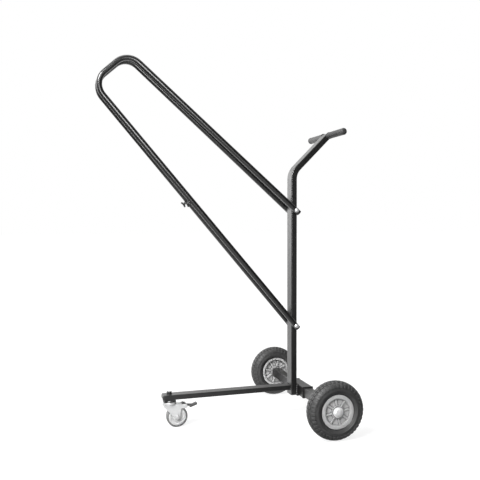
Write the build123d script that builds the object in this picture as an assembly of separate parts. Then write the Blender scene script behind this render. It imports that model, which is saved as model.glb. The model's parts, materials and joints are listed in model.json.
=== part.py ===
from build123d import *
import math
import os

# Music stand cart: a post on a low base beam, two big rear wheels on a square cross axle, a braked
# caster in front, and a pair of slanted tube loops that folded stands hang between.
# X runs along the cart (caster towards -X, handle towards +X), Y across it and Z up. The cart is laid out
# from the ground under the post, and the written pieces are moved to the middle of its box.
# "far" is the +Y side and "near" its mirror image. Sizes are in millimetres, angles in degrees.

# Post, neck and handle
post_depth = 22.0
post_width = 46.0
post_wall = 2.0
post_corner = 3.0
post_foot_z = 85.0
foot_plug_flange = 3.0
foot_plug_depth = 15.0
neck_corner_z = 916.0
neck_angle = 45.0
neck_bend = 60.0
neck_setback = 4.0
handle_x = 140.0
handle_radius = 10.0
handle_wall = 2.0
handle_half_length = 147.0
grip_radius = 12.5
grip_start_y = 23.5
grip_end_y = 152.0
grip_dome = 4.5
grip_groove_y = 143.0
grip_groove_radius = 0.8

# Base beam
beam_width = 40.0
beam_height = 18.0
beam_wall = 2.0
beam_corner = 2.5
beam_z = 110.0
beam_front_x = -489.0
beam_nose = 6.5
beam_nose_round = 5.5
beam_plug_depth = 10.0

# Cross axle
axle_x = 37.0
cross_size = 40.0
cross_wall = 2.0
cross_corner = 3.0
cross_half = 62.0
mount_plate_width = 52.0
mount_plate_height = 42.0
collar_size = 42.0
collar_thick = 4.0
bush_depth = 42.0
arm_size = 32.0
arm_wall = 2.0
arm_corner = 2.5
arm_inner_y = 8.0
arm_outer_y = 264.0
end_block_depth = 28.0
end_block_flange = 4.0
axle_radius = 10.0
axle_head_radius = 13.5
axle_head_thick = 6.0
arm_screw_y = 32.0
arm_screw_radius = 3.0
arm_screw_reach = 8.0
arm_screw_head_radius = 5.5
arm_screw_head_thick = 3.3
arm_screw_head_round = 2.0

# Rear wheels, with widths measured from the wheel's middle, outwards positive
wheel_radius = 100.0
wheel_half_width = 27.5
wheel_track = 594.0
tyre_shoulder_radius = 95.5
tyre_shoulder_half = 22.0
tyre_bulge_radius = 76.0
tyre_bead_half = 20.0
tyre_wall = 6.0
tyre_shoulder_down = 0.9  # share of a wall's inset that is taken at the shoulder, downwards
tyre_shoulder_in = 0.7  # the same, inwards
tyre_groove_rows = (5.3, 14.5)
tyre_groove_width = 2.2
tyre_groove_depth = 2.8
inner_tube_wall = 2.0
bead_radius = 53.0
rim_flange_radius = 57.7
outer_lip_radius = 45.0
inner_lip_radius = 49.0
rim_half_width = 24.0
outer_disc_side = 22.5
inner_disc_side = 20.0
rim_web = 4.0
rim_barrel_inner = 48.5
outer_pocket_depth = 2.3
inner_pocket_depth = 6.0
rim_ribs = 8
rim_near_turn = 9.5
rim_far_turn = 31.0
rim_rib_width = 6.0
outer_pocket_radius = 43.0
inner_pocket_radius = 47.0
pocket_start_radius = 22.5
hub_radius = 20.0
hub_bore_radius = 14.0
hub_inner_end = 26.5
hub_outer_end = 23.0
axle_washer_radius = 16.0
axle_washer_thick = 1.5
axle_cap_radius = 18.0
axle_cap_rim = 1.0
axle_cap_height = 6.0
axle_cap_socket = 4.0

# Rails: distances along a rail are measured from the post's centre line towards the front
rail_radius = 10.0
rail_wall = 2.0
rail_y = 38.3
rail_toe_in = 1.17
upper_rail_z = 775.0
upper_rail_angle = 41.3
upper_rail_corner = 813.0
upper_rail_tail = 15.0
lower_rail_z = 347.0
lower_rail_angle = 49.6
lower_rail_corner = 1126.5
lower_rail_tail = 12.0
loop_bend = 57.0
joint_distance = 590.0
spigot_half_length = 60.0
rail_plug_flange = 2.5
rail_plug_round = 1.5
rail_plug_depth = 14.0
saddle_radius = 11.0
saddle_edge_y = 31.0
rail_bolt_radius = 4.0
rail_bolt_hole = 4.2
rail_washer_radius = 8.0
rail_washer_inner_y = 44.0
rail_washer_outer_y = 50.0
bolt_head_radius = 7.0
bolt_head_rim = 0.8
bolt_head_height = 4.5
dome_nut_width = 13.0
dome_nut_hex = 6.0
dome_nut_radius = 5.8
dome_nut_height = 11.0

# Wing screws: heights are measured from the rail's centre line, down and outwards
screw_distance = 606.0
boss_radius = 6.0
boss_height = 13.0
screw_radius = 3.0
screw_tip = 8.3
wing_hub_radius = 4.8
wing_hub_round = 2.0
wing_hub_bottom = 15.0
wing_hub_top = 21.5
wing_span = 8.5
wing_root_height = 18.8
wing_root_radius = 4.0
wing_tip_height = 22.0
wing_tip_radius = 3.0
wing_thick = 3.4

# Caster
swivel_x = -470.0
caster_trail = 27.0
caster_radius = 38.0
riser_length = 42.0
riser_width = 38.0
riser_height = 9.0
riser_corner = 2.5
riser_slot_width = 24.0
riser_slot_height = 6.5
kingpin_radius = 5.0
kingpin_hole = 5.2
kingpin_head_radius = 8.0
kingpin_head_thick = 5.7
kingpin_washer_radius = 10.0
kingpin_washer_thick = 1.2
kingpin_nut_width = 17.0
kingpin_nut_thick = 8.0
cup_radius = 24.5
cup_round = 1.6
cup_skirt_wall = 2.0
cup_skirt_drop = 5.4
cup_boss_radius = 10.5
race_radius = 18.0
race_seat_radius = 22.0
race_seat_thick = 1.0
ball_radius = 2.5
ball_count = 14
fork_top_z = 83.0
fork_sheet = 2.0
fork_half_width = 16.5
fork_front_x = -490.0
fork_front_round = 3.0
fork_edge_round = 1.2
fork_boss_radius = 10.0
fork_neck_x = -436.0
fork_slot_x = -427.0
caster_axle_radius = 4.0
caster_nut_width = 13.0
caster_nut_thick = 6.5
caster_bush_radius = 7.0
caster_bush_half = 14.2
caster_hub_radius = 12.0
caster_hub_half = 13.8
caster_web_half = 13.0
caster_ring_radius = 24.5
caster_ring_half = 13.5
caster_core_radius = 31.0
caster_half_width = 12.0
caster_tread_round = 3.5

# Brake on the caster
brake_x = -414.0
brake_z = 75.0
brake_boss_radius = 8.0
brake_pin_radius = 3.0
brake_pin_head_radius = 5.0
brake_pin_head_thick = 1.5
lever_half_width = 7.0
lever_cam_radius = 7.0
lever_lobe_radius = 3.0
lever_lobe_reach = 5.4
lever_lobe_angle = 254.0
lever_toe_radius = 3.0
lever_toe_back = 7.0
lever_toe_rise = 9.5
lever_arm_root = 4.0
lever_arm_tip = 1.8
pedal_half_width = 9.0
pedal_half_thick = 3.8
pedal_round = 2.5
pedal_heel_x = -393.5
pedal_heel_z = 70.0
pedal_toe_x = -372.5
pedal_toe_z = 77.5

# Gaps: pressed pieces, running fits, and faces that pass each other
press_gap = 0.03
running_gap = 0.05
free_gap = 0.3

handle_z = neck_corner_z + handle_x * math.tan(math.radians(neck_angle))
beam_bottom_z = beam_z - beam_height / 2
beam_top_z = beam_z + beam_height / 2
cross_front_x = axle_x - cross_size / 2
wheel_y = wheel_track / 2
rail_outer_crown = rail_y + rail_radius
caster_x = swivel_x + caster_trail
fork_inner = fork_half_width - fork_sheet
crown_bottom_z = fork_top_z - fork_sheet
race_top_z = fork_top_z + race_seat_thick
cup_under_z = race_top_z + 2 * ball_radius + running_gap + free_gap
cup_top_z = beam_bottom_z - riser_height


def block(x0, x1, y0, y1, z0, z1):
    return Pos((x0 + x1) / 2, (y0 + y1) / 2, (z0 + z1) / 2) * Box(x1 - x0, y1 - y0, z1 - z0)


def rod(radius, start, end):
    along = Vector(*end) - Vector(*start)
    return extrude(Plane(origin=start, z_dir=along) * Circle(radius), along.length)


def pipe(radius, bore, start, end):
    return rod(radius, start, end) - rod(bore, start, end)


def upright(radius, x, z0, z1):
    return rod(radius, (x, 0, z0), (x, 0, z1))


def across(radius, x, z, y0, y1):
    return rod(radius, (x, y0, z), (x, y1, z))


def square_bar(size, corner, y0, y1):
    plane = Plane(origin=(axle_x, y0, wheel_radius), x_dir=(1, 0, 0), z_dir=(0, 1, 0))
    return extrude(plane * RectangleRounded(size, size, corner), y1 - y0)


def beam_bar(width, height, corner, x0, x1):
    plane = Plane(origin=(x0, 0, beam_z), x_dir=(0, 1, 0), z_dir=(1, 0, 0))
    return extrude(plane * RectangleRounded(width, height, corner), x1 - x0)


def post_bar(depth, width, corner, z0, z1):
    return extrude(Plane(origin=(0, 0, z0)) * RectangleRounded(depth, width, corner), z1 - z0)


def turned(outline):
    return revolve(make_face(outline), axis=Axis.Y)


def dome_arc(radius, low, high):
    rise = high - low
    sphere = (radius**2 + rise**2) / (2 * rise)
    half_way = math.asin(radius / sphere) / 2
    middle = (sphere * math.sin(half_way), high - sphere + sphere * math.cos(half_way))
    return ThreePointArc((radius, low), middle, (0, high))


def hex_prism(width, plane, length):
    return extrude(plane * RegularPolygon(width / 2, 6, major_radius=False), length)


def dot(x, z, radius):
    return Pos(x, z) * Circle(radius)


def hull(*shapes):
    return make_hull([edge for shape in shapes for edge in shape.edges()])


def side_plate(sketch, half_width):
    return extrude(Plane.XZ * sketch, half_width, both=True)


def near_of(piece):
    return mirror(piece, about=Plane.XZ)


def round_edges(piece):
    return piece.edges().filter_by(GeomType.CIRCLE)


# Post, neck and handle


def post_sweep(depth, width, corner):
    back = neck_setback
    angle = math.radians(neck_angle)
    top = (handle_x - back * math.cos(angle), 0, handle_z - back * math.sin(angle))
    path = FilletPolyline((0, 0, post_foot_z), (0, 0, neck_corner_z), top, radius=neck_bend)
    section = Plane(origin=(0, 0, post_foot_z)) * RectangleRounded(depth, width, corner)
    return sweep(section, path=path)


def post_tube():
    tube = post_sweep(post_depth, post_width, post_corner)
    tube -= post_sweep(post_depth - 2 * post_wall, post_width - 2 * post_wall, post_corner - post_wall)
    tube -= across(handle_radius + press_gap, handle_x, handle_z, -post_width, post_width)
    for bolt_z in (upper_rail_z, lower_rail_z):
        tube -= across(rail_bolt_hole, 0, bolt_z, -post_width, post_width)
    return tube


def post_foot_plug():
    inset = 2 * (post_wall + press_gap)
    flange = post_bar(post_depth, post_width, post_corner, post_foot_z - foot_plug_flange, post_foot_z)
    insert = post_bar(post_depth - inset, post_width - inset, post_corner - post_wall,
                      post_foot_z, post_foot_z + foot_plug_depth)
    return flange + insert


def handle_bar():
    return pipe(handle_radius, handle_radius - handle_wall,
                (handle_x, -handle_half_length, handle_z), (handle_x, handle_half_length, handle_z))


def grip():
    bore = handle_radius + press_gap
    floor_y = handle_half_length + press_gap
    dome_y = grip_end_y - grip_dome
    dome_radius = grip_radius - grip_dome
    outline = Polyline((bore, grip_start_y), (grip_radius, grip_start_y), (grip_radius, dome_y))
    outline += RadiusArc((grip_radius, dome_y), (dome_radius, grip_end_y), -grip_dome)
    outline += Polyline((dome_radius, grip_end_y), (0, grip_end_y), (0, floor_y), (bore, floor_y),
                        (bore, grip_start_y))
    groove = revolve(Pos(grip_radius, grip_groove_y) * Circle(grip_groove_radius), axis=Axis.Y)
    return Pos(handle_x, 0, handle_z) * (turned(outline) - groove)


# Base beam


def base_beam():
    beam = beam_bar(beam_width, beam_height, beam_corner, beam_front_x, -post_depth / 2)
    beam -= beam_bar(beam_width - 2 * beam_wall, beam_height - 2 * beam_wall, beam_corner - beam_wall,
                     beam_front_x, -post_depth / 2)
    return beam - upright(kingpin_hole, swivel_x, beam_bottom_z, beam_top_z)


def beam_end_plug():
    inset = 2 * (beam_wall + press_gap)
    nose = beam_bar(beam_width, beam_height, beam_corner, beam_front_x - beam_nose, beam_front_x)
    nose = fillet(nose.faces().sort_by(Axis.X)[0].edges(), beam_nose_round)
    insert = beam_bar(beam_width - inset, beam_height - inset, beam_corner - beam_wall,
                      beam_front_x, beam_front_x + beam_plug_depth)
    return nose + insert


# Cross axle


def axle_mount_plate():
    return block(post_depth / 2, cross_front_x, -mount_plate_width / 2, mount_plate_width / 2,
                 wheel_radius - mount_plate_height / 2, wheel_radius + mount_plate_height / 2)


def screw_hole(y):
    outside_x = axle_x + cross_size / 2 + arm_screw_head_thick
    return rod(arm_screw_radius + running_gap, (axle_x, y, wheel_radius), (outside_x, y, wheel_radius))


def axle_center_tube():
    tube = square_bar(cross_size, cross_corner, -cross_half, cross_half)
    tube -= square_bar(cross_size - 2 * cross_wall, cross_corner - cross_wall, -cross_half, cross_half)
    return tube - screw_hole(arm_screw_y) - screw_hole(-arm_screw_y)


def arm_bush():
    inset = 2 * (cross_wall + press_gap)
    bush = square_bar(cross_size - inset, cross_corner - cross_wall, cross_half - bush_depth, cross_half)
    bush += square_bar(collar_size, cross_corner, cross_half, cross_half + collar_thick)
    bush -= square_bar(arm_size + 2 * press_gap, arm_corner, 0, cross_half + collar_thick)
    return bush - screw_hole(arm_screw_y)


def axle_arm():
    arm = square_bar(arm_size, arm_corner, arm_inner_y, arm_outer_y)
    arm -= square_bar(arm_size - 2 * arm_wall, arm_corner - arm_wall, arm_inner_y, arm_outer_y)
    return arm - screw_hole(arm_screw_y)


def arm_screw():
    rear_x = axle_x + cross_size / 2
    start = (rear_x - arm_screw_reach, arm_screw_y, wheel_radius)
    seat = (rear_x, arm_screw_y, wheel_radius)
    head_end = (rear_x + arm_screw_head_thick, arm_screw_y, wheel_radius)
    head = rod(arm_screw_head_radius, seat, head_end)
    head = fillet(round_edges(head).sort_by(Axis.X)[-1], arm_screw_head_round)
    return rod(arm_screw_radius, start, seat) + head


def arm_end_block():
    inset = 2 * (arm_wall + press_gap)
    block_start = arm_outer_y - end_block_depth
    flange_end = arm_outer_y + end_block_flange
    plug = square_bar(arm_size - inset, arm_corner - arm_wall, block_start, arm_outer_y)
    plug += square_bar(arm_size, arm_corner, arm_outer_y, flange_end)
    return plug - across(axle_radius + press_gap, axle_x, wheel_radius, block_start, flange_end)


def stub_axle():
    head_end = arm_outer_y - end_block_depth
    cap_seat = outer_washer_start() + axle_washer_thick
    axle = across(axle_radius, axle_x, wheel_radius, head_end - axle_head_thick, cap_seat + axle_cap_socket)
    head = across(axle_head_radius, axle_x, wheel_radius, head_end - axle_head_thick, head_end)
    return axle + head


def outer_washer_start():
    return wheel_y + hub_outer_end + free_gap


def axle_washer(y0, y1):
    bore = axle_radius + running_gap
    return pipe(axle_washer_radius, bore, (axle_x, y0, wheel_radius), (axle_x, y1, wheel_radius))


def axle_washer_pair():
    inner_start = arm_outer_y + end_block_flange
    inner_end = wheel_y - hub_inner_end - free_gap
    outer_start = outer_washer_start()
    return [axle_washer(inner_start, inner_end), axle_washer(outer_start, outer_start + axle_washer_thick)]


def axle_cap():
    socket = axle_radius + press_gap
    depth = axle_cap_socket + press_gap
    outline = Polyline((socket, 0), (axle_cap_radius, 0), (axle_cap_radius, axle_cap_rim))
    outline += dome_arc(axle_cap_radius, axle_cap_rim, axle_cap_height)
    outline += Polyline((0, axle_cap_height), (0, depth), (socket, depth), (socket, 0))
    return Pos(axle_x, outer_washer_start() + axle_washer_thick, wheel_radius) * turned(outline)


# Rear wheels


def tyre_outline(inset, bead_edge):
    side = tyre_bead_half - inset
    crown = wheel_radius - inset
    shoulder = tyre_shoulder_radius - inset * tyre_shoulder_down
    shoulder_side = tyre_shoulder_half - inset * tyre_shoulder_in
    bulge_side = wheel_half_width - inset
    bead_top = rim_flange_radius + free_gap
    outline = Polyline((bead_top, -side), (bead_edge, -side), (bead_edge, side), (bead_top, side))
    outline += ThreePointArc((bead_top, side), (tyre_bulge_radius, bulge_side), (shoulder, shoulder_side))
    outline += ThreePointArc((shoulder, shoulder_side), (crown, 0), (shoulder, -shoulder_side))
    outline += ThreePointArc((shoulder, -shoulder_side), (tyre_bulge_radius, -bulge_side), (bead_top, -side))
    return outline


def crown_radius(side):
    drop = wheel_radius - tyre_shoulder_radius
    arc = (tyre_shoulder_half**2 + drop**2) / (2 * drop)
    return wheel_radius - arc + math.sqrt(arc**2 - side**2)


def tyre():
    casing = turned(tyre_outline(0, bead_radius)) - turned(tyre_outline(tyre_wall, bead_radius))
    for row in tyre_groove_rows:
        ring = Pos(crown_radius(row), row) * Rectangle(2 * tyre_groove_depth, tyre_groove_width)
        groove = revolve(ring, axis=Axis.Y)
        casing -= groove + near_of(groove)
    return on_wheel(casing)


def inner_tube():
    outside = tyre_wall + free_gap
    inside = outside + inner_tube_wall
    seat = bead_radius + free_gap
    skin = turned(tyre_outline(outside, seat)) - turned(tyre_outline(inside, seat + inner_tube_wall))
    return on_wheel(skin)


def rim_half(turn, hub_end, disc_side, lip_radius, pocket_radius, pocket_depth):
    seat = bead_radius - press_gap
    bead_side = tyre_bead_half + free_gap
    hub_bore = hub_bore_radius + press_gap
    web_side = disc_side - pocket_depth - rim_web
    outline = Polyline(
        (hub_bore, press_gap), (hub_radius, press_gap), (hub_radius, web_side), (rim_barrel_inner, web_side),
        (rim_barrel_inner, press_gap), (seat, press_gap), (seat, bead_side), (rim_flange_radius, bead_side),
        (rim_flange_radius, rim_half_width), (lip_radius, rim_half_width), (lip_radius, disc_side),
        (hub_radius, disc_side), (hub_radius, hub_end), (hub_bore, hub_end), (hub_bore, press_gap))
    pockets = Circle(pocket_radius) - Circle(pocket_start_radius)
    for index in range(rim_ribs // 2):
        pockets -= Rot(0, 0, index * 360 / rim_ribs - turn) * Rectangle(2 * rim_flange_radius, rim_rib_width)
    floor = Plane(origin=(0, disc_side - pocket_depth, 0), x_dir=(1, 0, 0), z_dir=(0, 1, 0))
    return turned(outline) - extrude(floor * pockets, pocket_depth)


def rim(turn):
    outer = rim_half(turn, hub_outer_end, outer_disc_side, outer_lip_radius,
                     outer_pocket_radius, outer_pocket_depth)
    inner = rim_half(turn, hub_inner_end, inner_disc_side, inner_lip_radius,
                     inner_pocket_radius, inner_pocket_depth)
    return [on_wheel(outer), on_wheel(near_of(inner))]


def hub_bearing():
    bearing = across(hub_bore_radius, 0, 0, -hub_inner_end, hub_outer_end)
    return on_wheel(bearing - across(axle_radius + running_gap, 0, 0, -hub_inner_end, hub_outer_end))


def on_wheel(piece):
    return Pos(axle_x, wheel_y, wheel_radius) * piece


# Rails


def upper_point(distance):
    angle = math.radians(upper_rail_angle)
    return (-distance * math.cos(angle), 0, upper_rail_z + distance * math.sin(angle))


def lower_point(distance):
    angle = math.radians(lower_rail_angle)
    return (-distance * math.cos(angle), 0, lower_rail_z + distance * math.sin(angle))


far_side = Location((0, rail_y, 0), (0, 0, rail_toe_in))
screw_lean = math.radians(lower_rail_angle)
screw_outwards = Vector(-math.sin(screw_lean), 0, -math.cos(screw_lean))
screw_along = Vector(-math.cos(screw_lean), 0, math.sin(screw_lean))


def screw_point(height):
    return tuple(Vector(*lower_point(screw_distance)) + screw_outwards * height)


def loop_sweep(radius):
    start = upper_point(-upper_rail_tail)
    path = FilletPolyline(start, upper_point(upper_rail_corner), lower_point(lower_rail_corner),
                          lower_point(joint_distance), radius=loop_bend)
    along = Vector(*upper_point(0)) - Vector(*start)
    return sweep(Plane(origin=start, z_dir=along) * Circle(radius), path=path)


def rail_bolt_bore(bolt_z):
    return across(rail_bolt_hole, 0, bolt_z, 0, rail_outer_crown + rail_radius)


def rail_loop():
    tube = loop_sweep(rail_radius) - loop_sweep(rail_radius - rail_wall)
    tube -= rod(screw_radius + running_gap, screw_point(0), screw_point(boss_height))
    return far_side * tube - rail_bolt_bore(upper_rail_z)


def lower_rail():
    tube = pipe(rail_radius, rail_radius - rail_wall,
                lower_point(-lower_rail_tail), lower_point(joint_distance))
    return far_side * tube - rail_bolt_bore(lower_rail_z)


def rail_spigot():
    start = lower_point(joint_distance - spigot_half_length)
    end = lower_point(joint_distance + spigot_half_length)
    return far_side * rod(rail_radius - rail_wall - running_gap, start, end)


def rail_plug(point, tail):
    flange = rod(rail_radius, point(-tail), point(-tail - rail_plug_flange))
    flange = fillet(round_edges(flange).sort_by(Axis.X)[-1], rail_plug_round)
    insert = rod(rail_radius - rail_wall - press_gap, point(-tail), point(rail_plug_depth - tail))
    return far_side * (flange + insert)


def rail_plugs():
    upper = rail_plug(upper_point, upper_rail_tail)
    lower = rail_plug(lower_point, lower_rail_tail)
    bores = rail_bolt_bore(upper_rail_z) + rail_bolt_bore(lower_rail_z)
    return [upper - bores, lower - bores]


def rail_core(point, tail):
    return far_side * rod(rail_radius + press_gap, point(-tail - saddle_radius), point(tail + saddle_radius))


def cupped_disc(radius, point, tail, bolt_z, y0, y1):
    disc = across(radius, 0, bolt_z, y0, y1)
    return disc - rail_core(point, tail) - rail_bolt_bore(bolt_z)


def rail_rests():
    return ((upper_point, upper_rail_tail, upper_rail_z), (lower_point, lower_rail_tail, lower_rail_z))


def rail_saddles():
    return [cupped_disc(saddle_radius, point, tail, z, post_width / 2, saddle_edge_y)
            for point, tail, z in rail_rests()]


def rail_washers():
    return [cupped_disc(rail_washer_radius, point, tail, z, rail_washer_inner_y, rail_washer_outer_y)
            for point, tail, z in rail_rests()]


def domed_head(radius, rim, height):
    outline = Polyline((0, height), (0, 0), (radius, 0), (radius, rim)) + dome_arc(radius, rim, height)
    return turned(outline)


def rail_bolt(bolt_z):
    shank = across(rail_bolt_radius, 0, bolt_z, -rail_washer_outer_y, rail_washer_outer_y + dome_nut_hex)
    head = near_of(domed_head(bolt_head_radius, bolt_head_rim, bolt_head_height))
    return shank + Pos(0, -rail_washer_outer_y, bolt_z) * head


def rail_bolt_nut(bolt_z):
    plane = Plane(origin=(0, 0, 0), x_dir=(1, 0, 0), z_dir=(0, 1, 0))
    nut = hex_prism(dome_nut_width, plane, dome_nut_hex)
    nut += domed_head(dome_nut_radius, dome_nut_hex, dome_nut_height)
    nut -= across(rail_bolt_radius + press_gap, 0, 0, 0, dome_nut_hex + press_gap)
    return Pos(0, rail_washer_outer_y, bolt_z) * nut


def clamp_boss():
    boss = rod(boss_radius, screw_point(rail_radius - rail_wall), screw_point(boss_height))
    boss -= rod(rail_radius + press_gap, lower_point(joint_distance), lower_point(lower_rail_corner))
    boss -= rod(screw_radius + running_gap, screw_point(0), screw_point(boss_height))
    return far_side * boss


def wing_screw():
    shank = upright(screw_radius, 0, screw_tip, wing_hub_bottom)
    hub = upright(wing_hub_radius, 0, wing_hub_bottom, wing_hub_top)
    hub = fillet(round_edges(hub).sort_by(Axis.Z)[-1], wing_hub_round)
    root = dot(0, wing_root_height, wing_root_radius)
    wings = hull(root, dot(wing_span, wing_tip_height, wing_tip_radius))
    wings += hull(root, dot(-wing_span, wing_tip_height, wing_tip_radius))
    screw = shank + hub + side_plate(wings, wing_thick / 2)
    seat = Plane(origin=lower_point(screw_distance), x_dir=screw_along, z_dir=screw_outwards)
    return far_side * seat.location * screw


# Caster


def caster_riser():
    half_length = riser_length / 2
    half_width = riser_width / 2
    half_slot = riser_slot_width / 2
    riser = block(swivel_x - half_length, swivel_x + half_length, -half_width, half_width,
                  cup_top_z, beam_bottom_z)
    riser = fillet(riser.edges().filter_by(Axis.Z), riser_corner)
    riser -= block(swivel_x - half_slot, swivel_x + half_slot, -half_width, half_width,
                   cup_top_z, cup_top_z + riser_slot_height)
    return riser - upright(kingpin_hole, swivel_x, cup_top_z, beam_bottom_z)


def nut_seat_z():
    return beam_top_z + kingpin_washer_thick


def kingpin():
    head_top = crown_bottom_z - free_gap
    pin = upright(kingpin_radius, swivel_x, head_top, nut_seat_z() + kingpin_nut_thick)
    return pin + upright(kingpin_head_radius, swivel_x, head_top - kingpin_head_thick, head_top)


def kingpin_washer():
    washer = upright(kingpin_washer_radius, swivel_x, beam_top_z, nut_seat_z())
    return washer - upright(kingpin_radius + press_gap, swivel_x, beam_top_z, nut_seat_z())


def kingpin_nut():
    seat = nut_seat_z()
    nut = hex_prism(kingpin_nut_width, Plane(origin=(swivel_x, 0, seat)), kingpin_nut_thick)
    return nut - upright(kingpin_radius + press_gap, swivel_x, seat, seat + kingpin_nut_thick)


def swivel_cup():
    skirt_z = cup_under_z - cup_skirt_drop
    cup = upright(cup_radius, swivel_x, skirt_z, cup_top_z)
    cup = fillet(round_edges(cup).sort_by(Axis.Z)[-1], cup_round)
    cup -= upright(cup_radius - cup_skirt_wall, swivel_x, skirt_z, cup_under_z)
    boss_top_z = cup_top_z + riser_slot_height
    cup += upright(cup_boss_radius, swivel_x, cup_top_z, boss_top_z)
    return cup - upright(kingpin_radius + press_gap, swivel_x, skirt_z, boss_top_z)


def swivel_balls():
    height = race_top_z + ball_radius + running_gap
    ring = Pos(swivel_x, 0, height) * PolarLocations(race_radius, ball_count)
    return [spot * Sphere(ball_radius) for spot in ring]


def caster_fork():
    top_round = fork_top_z - brake_boss_radius
    front = dot(fork_front_x, fork_top_z - fork_front_round, fork_front_round)
    neck = dot(fork_neck_x, top_round, brake_boss_radius)
    rear = dot(brake_x, brake_z, brake_boss_radius)
    cheeks = hull(front, dot(caster_x, caster_radius, fork_boss_radius), neck) + hull(neck, rear)
    fork = side_plate(cheeks, fork_half_width)
    fork = fillet(fork.faces().filter_by(Axis.Y).edges(), fork_edge_round)
    low_z = caster_radius - fork_boss_radius
    fork += upright(cup_radius - running_gap, swivel_x, crown_bottom_z, fork_top_z)
    fork -= block(swivel_x - cup_radius, 0, -fork_inner, fork_inner, low_z, crown_bottom_z)
    fork -= block(fork_slot_x, 0, -fork_inner, fork_inner, low_z, fork_top_z)
    fork += upright(race_seat_radius, swivel_x, fork_top_z, race_top_z)
    fork -= upright(kingpin_radius + running_gap, swivel_x, crown_bottom_z, race_top_z)
    fork -= across(caster_axle_radius + press_gap, caster_x, caster_radius, -fork_half_width, fork_half_width)
    return fork - across(brake_pin_radius + press_gap, brake_x, brake_z, -fork_half_width, fork_half_width)


def caster_axle_bolt():
    bolt = across(caster_axle_radius, caster_x, caster_radius,
                  -fork_half_width, fork_half_width + caster_nut_thick)
    plane = Plane(origin=(caster_x, -fork_half_width, caster_radius), x_dir=(1, 0, 0), z_dir=(0, -1, 0))
    return bolt + hex_prism(caster_nut_width, plane, caster_nut_thick)


def caster_axle_nut():
    plane = Plane(origin=(caster_x, fork_half_width, caster_radius), x_dir=(1, 0, 0), z_dir=(0, 1, 0))
    nut = hex_prism(caster_nut_width, plane, caster_nut_thick)
    return nut - across(caster_axle_radius + press_gap, caster_x, caster_radius,
                        fork_half_width, fork_half_width + caster_nut_thick)


def caster_wheel_bush():
    bush = across(caster_bush_radius, caster_x, caster_radius, -caster_bush_half, caster_bush_half)
    return bush - across(caster_axle_radius + running_gap, caster_x, caster_radius,
                         -caster_bush_half, caster_bush_half)


def caster_wheel_core():
    bore = caster_bush_radius + press_gap
    outline = Polyline(
        (bore, -caster_hub_half), (caster_hub_radius, -caster_hub_half),
        (caster_hub_radius, -caster_web_half), (caster_ring_radius, -caster_web_half),
        (caster_ring_radius, -caster_ring_half),
        (caster_core_radius, -caster_ring_half), (caster_core_radius, caster_ring_half),
        (caster_ring_radius, caster_ring_half), (caster_ring_radius, caster_web_half),
        (caster_hub_radius, caster_web_half), (caster_hub_radius, caster_hub_half), (bore, caster_hub_half),
        (bore, -caster_hub_half))
    return Pos(caster_x, 0, caster_radius) * turned(outline)


def caster_tread():
    bore = caster_core_radius + press_gap
    section = Pos((bore + caster_radius) / 2, 0) * Rectangle(caster_radius - bore, 2 * caster_half_width)
    section = fillet(section.vertices().group_by(Axis.X)[-1], caster_tread_round)
    return Pos(caster_x, 0, caster_radius) * revolve(section, axis=Axis.Y)


def lever_arm():
    middle_x = (pedal_heel_x + pedal_toe_x) / 2
    middle_z = (pedal_heel_z + pedal_toe_z) / 2
    return hull(dot(brake_x, brake_z, lever_arm_root), dot(middle_x, middle_z, lever_arm_tip))


def brake_lever():
    turn = math.radians(lever_lobe_angle)
    lobe_x = brake_x + lever_lobe_reach * math.cos(turn)
    lobe_z = brake_z + lever_lobe_reach * math.sin(turn)
    pivot = dot(brake_x, brake_z, lever_cam_radius)
    cam = hull(pivot, dot(lobe_x, lobe_z, lever_lobe_radius))
    toe = hull(pivot, dot(brake_x - lever_toe_back, brake_z + lever_toe_rise, lever_toe_radius))
    lever = side_plate(cam + toe + lever_arm(), lever_half_width)
    return lever - across(brake_pin_radius + running_gap, brake_x, brake_z,
                          -lever_half_width, lever_half_width)


def brake_pedal_pad():
    heel = dot(pedal_heel_x, pedal_heel_z, pedal_half_thick)
    pill = hull(heel, dot(pedal_toe_x, pedal_toe_z, pedal_half_thick))
    pad = side_plate(pill, pedal_half_width)
    ends = pad.faces().filter_by(Axis.Y).edges()
    return fillet(ends, pedal_round) - side_plate(lever_arm(), lever_half_width)


def brake_pivot_pin():
    reach = fork_half_width + brake_pin_head_thick
    pin = across(brake_pin_radius, brake_x, brake_z, -reach, reach)
    head = across(brake_pin_head_radius, brake_x, brake_z, fork_half_width, reach)
    return pin + head + near_of(head)


# Every piece, by name


def both_sides(name, piece):
    return {name + "_near": [near_of(piece)], name + "_far": [piece]}


def with_near(solids):
    return solids + [near_of(solid) for solid in solids]


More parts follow.
